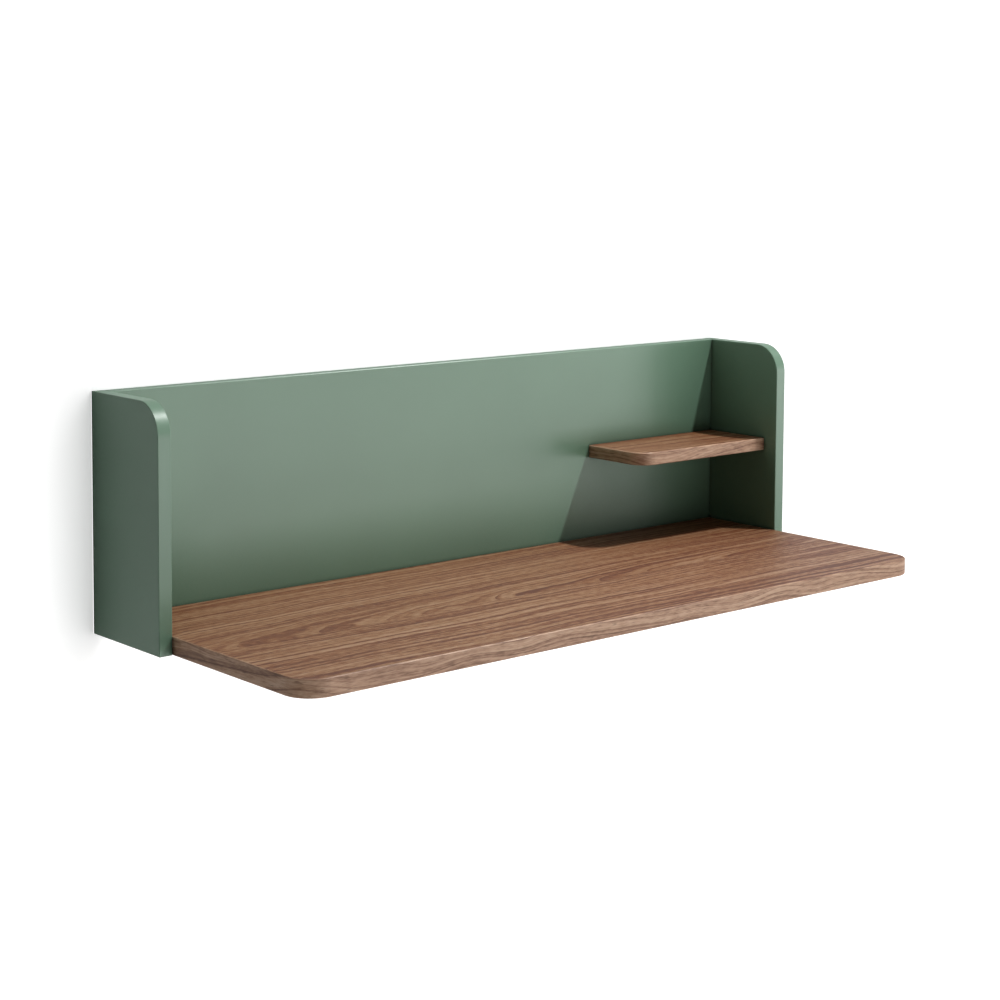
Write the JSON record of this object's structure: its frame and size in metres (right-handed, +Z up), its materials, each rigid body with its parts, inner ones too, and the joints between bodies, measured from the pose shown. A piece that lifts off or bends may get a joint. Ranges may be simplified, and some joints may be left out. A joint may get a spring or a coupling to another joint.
{
  "type": "floating wall desk",
  "caption": "Wall-hung desk with a lacquered back and side panels, a veneered desk top with rounded front corners and a small corner shelf.",
  "frame": {"origin": "middle of the row of wall-rail fixing holes, on the wall's face", "axes": "+X to the right as seen from the room, +Y into the wall, +Z up"},
  "size_m": [1.2, 0.46, 0.33],
  "materials": {
    "green_lacquer": "satin green lacquer on board",
    "core_board": "raw fibreboard",
    "walnut_veneer": "matt lacquered walnut veneer",
    "walnut_edge": "matt lacquered walnut edge band",
    "rail_aluminium": "mill-finish extrusion",
    "beech_plywood": "raw beech plywood",
    "cam_zinc": "bare die-cast zinc",
    "fastener_steel": "zinc-plated steel",
    "cap_plastic": "brown moulded plastic"
  },
  "bodies": {
    "wall_mount": {"wall_rail": "rail_aluminium"},
    "desk": {"back_panel": "green_lacquer", "left_side_panel": "green_lacquer", "right_side_panel": "green_lacquer", "desk_top_core": "core_board", "shelf_core": "core_board", "desk_top_upper_veneer": "walnut_veneer", "desk_top_lower_veneer": "walnut_veneer", "shelf_upper_veneer": "walnut_veneer", "shelf_lower_veneer": "walnut_veneer", "desk_top_edge_band": "walnut_edge", "shelf_edge_band": "walnut_edge", "hanging_rail": "rail_aluminium", "back_panel_left_tongue": "beech_plywood", "back_panel_right_tongue": "beech_plywood", "desk_top_left_tongue": "beech_plywood", "desk_top_right_tongue": "beech_plywood", "desk_top_rear_left_tongue": "beech_plywood", "desk_top_rear_right_tongue": "beech_plywood", "shelf_tongue": "beech_plywood", "desk_top_cams": "cam_zinc", "desk_top_cam_bolts": "fastener_steel", "desk_top_screws": "fastener_steel", "shelf_screws": "fastener_steel", "hanging_rail_screws": "fastener_steel", "desk_top_cam_caps": "cap_plastic"}
  },
  "joints": [
    {"name": "desk_lift", "type": "slide", "parent": "wall_mount", "child": "desk", "axis": [0, 0, 1], "range_m": [0, 0.012]}
  ]
}
